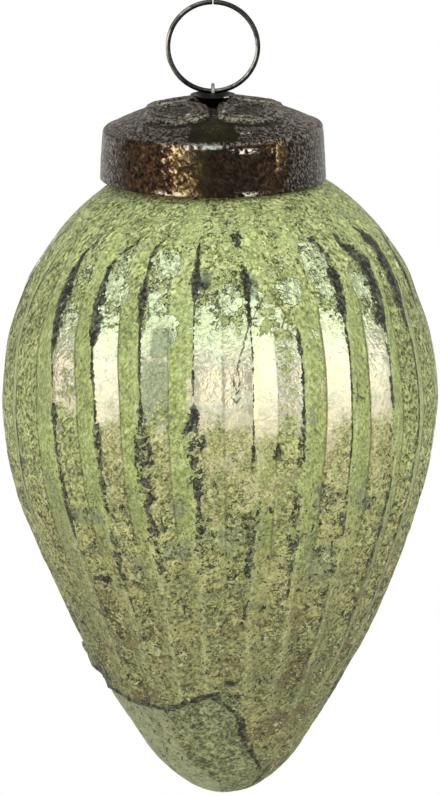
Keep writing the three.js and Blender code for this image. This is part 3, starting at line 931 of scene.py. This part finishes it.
    # Painted shade: the colour darker towards the tip
    colour = silver.coat(cover, paint).shade(depth.step(50.0, 80.0, 1.0, 0.74))
    coats = (
        ((broad + flaky * 0.5).step(0.75, 0.87) * depth.step(54.0, 66.0) * 0.75, BROWN),
        # Painted highlight beside the ridges
        (ridge_highlight * flaky.step(0.35, 0.6, 0.0, 0.6), SAGE_PALE),
        # Painted shade: a dark line along each valley
        (valley.step(0.05, 0.30, 0.6, 0.0) * fluted * (cover * 0.7 + 0.3), SAGE_DARK),
        (lip_highlight * 0.65, SAGE_PALE),
        (lip_shade * 0.95, dim(SAGE_DARK, 0.6)),
        (marks.step(0.57, 0.64) * cluster * 0.7, SAGE_PALE),
        (marks.fall(0.38, 0.43) * cluster * 0.9, CURL_DARK),
        (hazy * 0.7, grain.step(0.35, 0.65, 0.3, 1.3).of(HAZE_GREY)),
        (outline * 0.85, dim(SAGE_DARK, 0.7)),
        (left_face, grain.ramp((0.3, LEFT_FACE_DARK), (0.6, LEFT_FACE_PALE))),
        (right_face, face_tone.ramp((0.40, RIGHT_FACE_DARK), (0.5, RIGHT_FACE), (0.6, RIGHT_FACE_PALE))),
        (soot_and_shade, soot_and_shade_tone.ramp((0.43, SOOT_AND_SHADE_DARK), (0.51, SOOT_AND_SHADE_MIDDLE), (0.61, SOOT_AND_SHADE_GREY))),
        (crack * 0.8, OLIVE_DARK),
        (inside * flaky.step(0.40, 0.60, 0.65, 1.0), patch.step(0.35, 0.65, 0.7, 1.2).of(LINING)),
    )
    for share, coat in coats:
        colour = colour.coat(share, coat)

    marked_share = left_face.max(right_face)
    bare = (1.0 - cover.max(marked_share)) * (1.0 - soot_and_shade)
    mirror = 1.0 - (below * 0.6).max(dark_reflected * 0.5)
    height = cover * 0.25 + grain * 0.35 + curl * 0.6 + flake * broken * 0.5 + soot_and_shade * -0.3
    shine = uneven.step(25.0, 32.0, -0.43, -0.20)
    return graph.finish(
        Base_Color=colour,
        Metallic=bare * mirror * 0.55 + inside * 0.45 + 0.05,
        Roughness=bare * shine + marked_share * -0.08 + flaky * 0.09 + 0.52,
        Normal=graph.bump(height * (crackle * 0.85 + 0.15), GLASS_BUMP),
    )


# Stamped cap: a dome with a dished middle and four petals, a straight skirt and a rolled edge
CAP_HEIGHT = 12.4
CAP_WALL = 0.5
CAP_COLUMNS = 480
HOLE_RADIUS = 1.75
DISH_START = 1.9
DISH_RADIUS = 3.9
DISH_FLOOR = 11.45
DOME_POWER = 2.4
DOME_TILT = 0.022
SHOULDER_RADIUS = 17.5
SHOULDER_FILLET = 0.75
SKIRT_HEIGHT = 8.2
SKIRT_RADIUS = 18.0
ROLL_RADIUS = 0.3
PETAL_RADIUS = 12.3
PETAL_NOTCH = 8.0
PETAL_RISE = 0.40
NOTCH_HALF_WIDTH = 0.9
NOTCH_DEPTH = 0.5
FAN_HALF_WIDTH = 3.4
# Cords that outline the petals: how far inside the rim, half width and height
CORDS = ((0.05, 0.26, 1.0), (1.0, 0.24, 0.85), (1.95, 0.26, 0.7))
CORD_RISE = 0.20


def dome_height(radius):
    return CAP_HEIGHT - (CAP_HEIGHT - SKIRT_HEIGHT) * (radius / SHOULDER_RADIUS) ** DOME_POWER


def dished(height, radius):
    """The height lowered towards the dish's floor in the middle."""
    return DISH_FLOOR + (height - DISH_FLOOR) * smooth(radius, DISH_START, DISH_RADIUS)


def petal_distance(x, y):
    """How far a point of the dome lies inside the nearest of four petals, negative outside them."""
    r = np.hypot(x, y)
    angle = np.arctan2(y, x)
    tip = PETAL_NOTCH + (PETAL_RADIUS - PETAL_NOTCH) * np.abs(np.sin(2 * angle)) ** 0.6
    lateral = np.minimum(np.abs(x), np.abs(y)) - NOTCH_HALF_WIDTH
    sides = np.stack([tip - r, lateral, r - DISH_RADIUS])
    return -0.5 * np.log(np.exp(-sides / 0.5).sum(axis=0))


def arc(centre, radius, start, stop, count):
    """Points of an arc from one angle to another, in degrees, without the first."""
    turns = np.radians(np.linspace(start, stop, count)[1:])
    return [(centre[0] + radius * math.cos(t), centre[1] + radius * math.sin(t)) for t in turns]


def make_cap():
    shoulder = SHOULDER_RADIUS - SHOULDER_FILLET
    radii = np.concatenate([np.linspace(HOLE_RADIUS, 4, 16), np.linspace(4, shoulder, 120)[1:]])
    angles = 2 * math.pi * np.arange(CAP_COLUMNS) / CAP_COLUMNS
    r, a = np.meshgrid(radii, angles, indexing="ij")
    x = r * np.cos(a)
    y = r * np.sin(a)
    plan = np.stack([x, y, 0 * x], axis=-1)
    inside = petal_distance(x, y) + 0.30 * value_noise(plan, 2.0, 31) + 0.25 * value_noise(plan, 0.9, 33)
    cords = [top * np.sqrt(np.clip(1 - ((inside - at) / half) ** 2, 0, 1)) for at, half, top in CORDS]
    lines = np.max(cords, axis=0)

    # Smooth fans of fine creases between the petals at the front and back
    width = FAN_HALF_WIDTH + 0.14 * (np.abs(y) - 11) + 0.25 * value_noise(plan, 2.5, 32)
    fan = smooth(width - np.abs(x), 0.0, 0.35) * smooth(np.abs(y), 5.0, 7.0)
    around = smooth(inside, -1.9, -1.1) * smooth(np.abs(y), 7.0, 9.0)
    is_fan = np.maximum(fan, 0.8 * around) * (1 - smooth(inside, -0.7, -0.2))
    height = dome_height(r)
    height += PETAL_RISE * smooth(inside, -0.8, 0.8) - 0.25 * smooth(inside, 1.4, 3.0)
    height += CORD_RISE * (lines - is_fan)
    notch = 1 - smooth(np.minimum(np.abs(x), np.abs(y)), 0.3, 1.4)
    height -= NOTCH_DEPTH * notch * (1 - smooth(r, 7, 10))
    top = np.stack([x, y, dished(height, r)], axis=-1)

    skirt_top = dome_height(shoulder) - SHOULDER_FILLET
    profile = arc((shoulder, skirt_top), SHOULDER_FILLET, 90, 0, 12)
    for t in np.linspace(0, 1, 34)[1:]:
        flare = (SKIRT_RADIUS - SHOULDER_RADIUS) * t**0.8
        profile.append((SHOULDER_RADIUS + flare, skirt_top + (ROLL_RADIUS - skirt_top) * t))
    seat = SKIRT_RADIUS - ROLL_RADIUS
    profile += arc((seat, ROLL_RADIUS), ROLL_RADIUS, 0, -180, 13)
    profile += [(seat - CAP_WALL, ROLL_RADIUS * 2.6), (SHOULDER_RADIUS - CAP_WALL, skirt_top)]
    for radius in np.linspace(shoulder - CAP_WALL, HOLE_RADIUS, 24):
        ground = dome_height(radius) - NOTCH_DEPTH * (1 - smooth(radius, 7, 10))
        profile.append((radius, dished(ground, radius) - CAP_WALL))
    side = turned(profile, CAP_COLUMNS)
    rings = np.concatenate([top, side])

    radial = np.stack([np.cos(angles), np.sin(angles), 0 * angles], axis=-1)
    dent = value_noise(rings, 4.0, 21) + 0.5 * value_noise(rings, 1.6, 22)
    rings = rings - (0.03 * (1.5 + dent))[..., None] * radial
    rings[: len(top), :, 2] += 0.05 * dent[: len(top)] * (1 - is_fan)
    rings[..., 2] += DOME_TILT * rings[..., 0] * np.clip(rings[..., 2] / SKIRT_HEIGHT, 0, 1)
    rings[..., 2] += CAP_EDGE
    attributes = {"line": lines, "fan": is_fan, "core": smooth(inside, 1.6, 3.0)}
    for key, values in attributes.items():
        attributes[key] = np.concatenate([values, np.zeros(side.shape[:2])])[::-1]
    return add_mesh("stamped_cap_brass", rings[::-1], attributes, is_torus=True)


# Linear colours of the cap
BRONZE_BLACK = (0.010, 0.007, 0.005)
BRONZE_DARK = (0.032, 0.022, 0.015)
BRONZE_BROWN = (0.078, 0.040, 0.023)
BRONZE_OLIVE = (0.060, 0.055, 0.016)
PAINTED_GREEN_REFLECTION = (0.16, 0.17, 0.02)
BRONZE_GREY = (0.080, 0.069, 0.056)
BRONZE_PALE = (0.42, 0.37, 0.32)
GOLD = (1.0, 0.76, 0.42)
GOLD_DEEP = (0.20, 0.125, 0.055)
PAINTED_GLINT = (1.0, 0.88, 0.80)
PAINTED_GLINT_BLUE = (0.72, 0.84, 0.86)
# Painted highlights on points of the dome: x, y and radius
PAINTED_SPARKS = (
    (-3.9, -9.2, 0.55), (0.2, -7.2, 0.35), (1.7, -8.6, 0.40),
    (-2.4, -4.2, 0.3), (5.6, -13.9, 0.3), (4.6, -14.3, 0.25),
)


def cap_material():
    """Patinated brass: hatched grey at the sides, brown, gold and near black bands across the front, some of
    them painted reflections.
    """
    graph = Graph("dark_antique_brass")
    noise = graph.noise
    x, y, z = graph.place()
    level = z - CAP_EDGE
    azimuth = graph.math("ARCTAN2", x, y * -1.0) * math.degrees(1.0)
    fan, line, core = graph.attributes("fan", "line", "core")
    patch = noise(2.2, 3, 0.6)
    fine = noise(0.8, 3, 0.6, distortion=0.6)
    hatch = noise(0.36, 2, 0.6, graph.slanted(-50, 1.7))
    scribble = noise(0.55, 3, 0.65, distortion=1.0)
    around = azimuth + patch.swing(5.0) + fine.swing(5.0)

    def band(low, high, soft):
        """1 between two azimuths, with soft edges."""
        return around.hump(low - soft, low + soft, high - soft, high + soft)

    # Finishes
    mixed = fine * 0.6 + hatch * 0.4
    black = mixed.ramp((0.42, BRONZE_BLACK), (0.56, BRONZE_DARK), (0.68, BRONZE_BROWN))
    brown = mixed.ramp((0.42, BRONZE_BLACK), (0.51, BRONZE_BROWN), (0.56, BRONZE_BROWN), (0.63, GOLD_DEEP))
    greenish = mixed.ramp((0.45, BRONZE_BLACK), (0.58, BRONZE_OLIVE))
    brown = brown.coat(patch.step(0.45, 0.62, 0.0, 0.5), greenish)
    stipple = hatch * 0.85 + noise(0.22, 1, 0.5) * 0.15
    grey = stipple.ramp((0.42, BRONZE_BLACK), (0.51, BRONZE_GREY), (0.64, BRONZE_PALE))
    grey = grey.shade(patch.step(0.35, 0.65, 0.75, 1.15))
    ground = scribble.ramp((0.44, BRONZE_BLACK), (0.50, BRONZE_GREY), (0.58, BRONZE_PALE))
    olive = fine.ramp((0.40, BRONZE_DARK), (0.60, BRONZE_OLIVE))
    # Painted highlight: the gold lighter towards the shoulder and the rolled edge
    edge_highlight = level.step(5.2, 6.8, 0.0, 0.045) + level.step(0.4, 1.4, 0.055, 0.0)
    sparkle = fine * 0.7 + hatch * 0.3 + edge_highlight
    gold = sparkle.ramp((0.44, BRONZE_DARK), (0.53, GOLD_DEEP), (0.63, GOLD))

    # Bands round the skirt: azimuths of their edges, softness, strength and finish
    # The near black middle is a painted reflection of the dark front, the gold bands from -22 to -8 and from
    # 35 to 39 are painted reflections of the lamps, and the right's darker grey is painted shade
    skirt = black
    for low, high, soft, strength, finish in (
        (-200, -52, 8.0, 1.0, grey),
        (42, 200, 5.0, 1.0, grey.shade(0.75)),
        (-54, -22, 7.0, 1.0, brown),
        (-22, -8, 3.0, 1.0, gold),
        (-8, -3, 3.0, 0.8, olive),
        (28, 42, 4.0, 0.5, brown),
        (112, 152, 8.0, 0.85, brown),
        (128, 140, 3.0, 0.6, gold),
        (-150, -120, 8.0, 0.8, black),
    ):
        skirt = skirt.coat(band(low, high, soft) * strength, finish)
    skirt = skirt.coat(band(35, 39, 2.0) * level.step(3.2, 4.8), gold)

    # Dome: mottled, black in the petals' cores, pale on their cords, smooth and dark olive in the fans, which
    # at the front is a painted dark reflection, with a painted yellow-green reflection in the middle of the
    # front fan
    across = graph.math("ABSOLUTE", x)
    dome = brown.coat(0.5, ground).coat(across.step(3.0, 12.0, 0.35, 1.0), ground)
    dome = dome.coat(core * scribble.step(0.48, 0.60, 0.8, 0.2), black)
    dome = dome.coat(line * scribble.step(0.40, 0.54, 0.10, 0.85), BRONZE_PALE)
    # Painted reflection: yellow-green speckles in the middle of the front fan
    middle = across.fall(1.0, 2.6) * y.hump(-14.8, -14.0, -12.4, -11.4)
    fan_colour = graph.blend(patch.step(0.40, 0.66, 0.0, 0.7), BRONZE_DARK, BRONZE_OLIVE)
    fan_colour = fan_colour.coat(hatch.step(0.48, 0.64, 0.0, 0.75) * middle, PAINTED_GREEN_REFLECTION)
    dome = dome.coat(fan, fan_colour)
    colour = skirt.coat(level.step(SKIRT_HEIGHT - 0.35, SKIRT_HEIGHT + 0.25), dome)

    # Painted highlights along the shoulder and the rolled edge, and on points of the dome
    blue_highlight = level.hump(7.45, 7.75, 8.0, 8.3) * band(-13, 7, 3.0) * fine.step(0.42, 0.54)
    low_edge_highlight = level.fall(0.4, 1.0) * (band(-28, -12, 3.0) * 0.45).max(band(17, 25, 3.0))
    # white: painted highlights on the shoulder, the rolled edge and the dome's points
    white = (level.hump(6.6, 7.0, 7.4, 7.7) * band(14, 23, 2.0)).max(low_edge_highlight) * sparkle.step(0.475, 0.55)
    flat = graph.flat(x, y)
    for spark_x, spark_y, radius in PAINTED_SPARKS:
        reach = graph.distance(flat, (spark_x, spark_y, 0.0)) + hatch.swing(0.15)
        white = white.max(reach.fall(0.6 * radius, radius) * level.step(6.0, 7.0))
    colour = colour.coat(blue_highlight * 0.9, PAINTED_GLINT_BLUE).coat(white * 0.95, PAINTED_GLINT)

    smoothness = (fan * 0.7).max(blue_highlight.max(white))
    relief = (fine * 0.5 + hatch * 0.5) * (smoothness * -0.8 + 1.0)
    return graph.finish(
        Base_Color=colour,
        Metallic=0.93,
        Roughness=hatch * 0.2 + smoothness * -0.12 + 0.34,
        Normal=graph.bump(relief, 0.2),
    )


# Collar: a flared eyelet, with the middle of a painted highlight on its rim
COLLAR_THROAT = 1.35
COLLAR_WALL = 0.3
COLLAR_COLUMNS = 72
COLLAR_BLACK = (0.004, 0.003, 0.003)
COLLAR_BROWN = (0.016, 0.012, 0.009)
COLLAR_PAINTED_GLINT = (2.3, -2.75, -14.35)


def make_collar():
    rim = (collar_high[0] - collar_low[0]) / 2
    top = collar_high[2]
    low = collar_low[2]
    start = COLLAR_THROAT + COLLAR_WALL
    steps = np.linspace(0, 1, 18)
    outer = [(start + (rim - 0.05 - start) * t**2.2, low + (top - 0.1 - low) * t) for t in steps]
    inner = [(r - COLLAR_WALL, z + 0.1) for r, z in outer[::-1]]
    inner[0] = (rim - 0.22, top)
    profile = [(start, low), *outer, *inner, (COLLAR_THROAT, low)]
    return add_mesh("cap_collar_brass", turned(profile, COLLAR_COLUMNS)[::-1], is_torus=True)


def collar_material():
    graph = Graph("blackened_brass")
    fine = graph.noise(0.5, 3, 0.6)
    reach = graph.distance(graph.mm, COLLAR_PAINTED_GLINT) + fine.swing(0.25)
    # Painted highlight on the rim
    rim_highlight = reach.fall(0.35, 0.65)
    return graph.finish(
        Base_Color=fine.ramp((0.40, COLLAR_BLACK), (0.62, COLLAR_BROWN)).coat(rim_highlight, PAINTED_GLINT),
        Metallic=rim_highlight * 0.3 + 0.6,
        Roughness=fine * 0.3 + 0.25,
        Normal=graph.bump(fine, 0.05, 0.8),
    )


# Wires
RING_WIRE = 0.8
RING_PATH = (ring_high[0] - ring_low[0] - RING_WIRE) / 2
RING_GAP = 0.14
RING_ROWS = 220
RING_SIDES = 20
SPRING_WIRE = 0.6
SPRING_ROWS = 260
SPRING_SIDES = 14
WIRE_GAP = 0.3
LEG_TOE = 0.9
# Rounding of a wire's end: share of its radius, and how far in from the end, in radii
END_ROUNDING = ((0.0, 0.0), (0.7, 0.0), (0.93, 0.08), (1.0, 0.3))
# Side of the ring's wire that is painted bright: a painted highlight from the light on that side
PAINTED_LIGHT_SIDE = (-0.80, -0.50, 0.33)


def tube(path, radius, sides):
    """Rings of points round a path of points, with rounded ends."""
    path = np.array(path, float)
    tangent = np.gradient(path, axis=0)
    tangent /= np.linalg.norm(tangent, axis=1)[:, None]
    start = np.cross(tangent[0], [0.3, 0.9, 0.2])
    normal = start / np.linalg.norm(start)
    normals = []
    for direction in tangent:
        normal = normal - np.dot(normal, direction) * direction
        normal /= np.linalg.norm(normal)
        normals.append(normal)
    normals = np.array(normals)
    side = np.cross(tangent, normals)
    around = 2 * math.pi * np.arange(sides)[None, :, None] / sides
    circle = radius * (np.cos(around) * normals[:, None] + np.sin(around) * side[:, None])
    first = [path[0] + setback * radius * tangent[0] + share * circle[0] for share, setback in END_ROUNDING]
    last = [path[-1] - setback * radius * tangent[-1] + share * circle[-1] for share, setback in END_ROUNDING]
    return np.array([*first, *(path[2:-2, None] + circle[2:-2]), *last[::-1]])


def make_ring():
    centre = (ring_low[2] + ring_high[2]) / 2
    gap = RING_GAP / 2 / RING_PATH
    turns = np.linspace(gap, 2 * math.pi - gap, RING_ROWS) + math.pi / 2
    path = [(RING_PATH * math.cos(b), 0, centre + RING_PATH * math.sin(b)) for b in turns]
    rings = tube(path, RING_WIRE / 2, RING_SIDES)
    outward = rings - rings.mean(axis=1, keepdims=True)
    outward /= np.maximum(np.linalg.norm(outward, axis=-1, keepdims=True), 1e-6)
    # Painted highlight: 1 on the side of the wire that faces the light
    lit_side = smooth(outward @ np.array(PAINTED_LIGHT_SIDE), 0.45, 0.95)
    return add_mesh("hanging_ring_wire", rings, {"lit_side": lit_side})


def spline(points, count):
    """A smooth curve through points."""
    points = np.array(points, float)
    chord = np.concatenate([[0], np.cumsum(np.sqrt(np.linalg.norm(np.diff(points, axis=0), axis=1)))])
    tangent = np.gradient(points, chord, axis=0)
    at = np.linspace(0, chord[-1], count)
    k = np.clip(np.searchsorted(chord, at, side="right") - 1, 0, len(points) - 2)
    span = (chord[k + 1] - chord[k])[:, None]
    t = (at - chord[k])[:, None] / span
    return (
        (2 * t**3 - 3 * t**2 + 1) * points[k]
        + (t**3 - 2 * t**2 + t) * span * tangent[k]
        + (3 * t**2 - 2 * t**3) * points[k + 1]
        + (t**3 - t**2) * span * tangent[k + 1]
    )


def make_clip():
    """The spring wire: up one leg from inside the neck, round the eye and down the other leg."""
    pivot = ring_low[2] + RING_WIRE / 2
    eye_path = RING_WIRE / 2 + WIRE_GAP + SPRING_WIRE / 2
    spacing = SPRING_WIRE / 2 + WIRE_GAP / 2
    leg_radius = (clip_high[1] - clip_low[1] - SPRING_WIRE) / 2
    under = collar_low[2]
    entry = under - 1.2
    leg = [
        (leg_radius - LEG_TOE, clip_low[2] + SPRING_WIRE / 2),
        (leg_radius, CAP_EDGE),
        (leg_radius, NECK_LIP + 0.4 * (CAP_EDGE - NECK_LIP)),
        (leg_radius * 0.93, NECK_LIP),
        (leg_radius * 0.5, NECK_LIP + 0.35 * (entry - NECK_LIP)),
        (spacing * 2, entry),
        (spacing, under),
        (spacing, pivot - 1.9),
        (spacing + 0.55 * (eye_path - spacing), pivot - 1.14),
    ]
    turns = np.radians(range(-20, 201, 20))
    eye = [(eye_path * math.cos(b), pivot + eye_path * math.sin(b)) for b in turns]
    route = leg + eye + [(-y, z) for y, z in leg[::-1]]
    path = spline([(0, y, z) for y, z in route], SPRING_ROWS)
    return add_mesh("spring_clip_wire", tube(path, SPRING_WIRE / 2, SPRING_SIDES))


RING_DARK = (0.035, 0.032, 0.030)
RING_PAINTED_HIGHLIGHT = (0.66, 0.64, 0.62)
CLIP_STEEL = (0.52, 0.51, 0.50)


def ring_material():
    """Near black steel, with a painted highlight along one side of the wire, broken up by noise."""
    graph = Graph("dark_ring_steel")
    fine = graph.noise(0.7, 3, 0.6)
    (lit_side,) = graph.attributes("lit_side")
    # Painted highlight along the wire's lit side, in patches
    marked_share = lit_side * (graph.noise(4.0, 2) * 0.7 + fine * 0.3).step(0.42, 0.56, 0.2, 1.0)
    return graph.finish(
        Base_Color=fine.step(0.3, 0.7, 0.4, 1.6).of(RING_DARK).coat(marked_share, RING_PAINTED_HIGHLIGHT),
        Metallic=0.95,
        Roughness=fine * 0.25 + 0.16,
        Normal=graph.bump(fine, 0.03, 0.6),
    )


def clip_material():
    graph = Graph("dull_spring_steel")
    tone = graph.noise(0.5, 3, 0.6) * 0.6 + graph.noise(0.12, 2, 0.7) * 0.4
    return graph.finish(
        Base_Color=tone.ramp((0.35, dim(CLIP_STEEL, 0.45)), (0.65, CLIP_STEEL)),
        Metallic=0.95,
        Roughness=tone * 0.25 + 0.24,
        Normal=graph.bump(tone, 0.02, 0.6),
    )


make_camera()
make_lights()
make_floor()

give(make_glass(), glass_material(), "glass", "glass_body")
give(make_cap(), cap_material(), "cap", "stamped_cap")
give(make_collar(), collar_material(), "cap", "cap_collar")
give(make_ring(), ring_material(), "ring", "hanging_ring")
give(make_clip(), clip_material(), "clip", "spring_clip")

bpy.context.scene.view_settings.view_transform = "Standard"
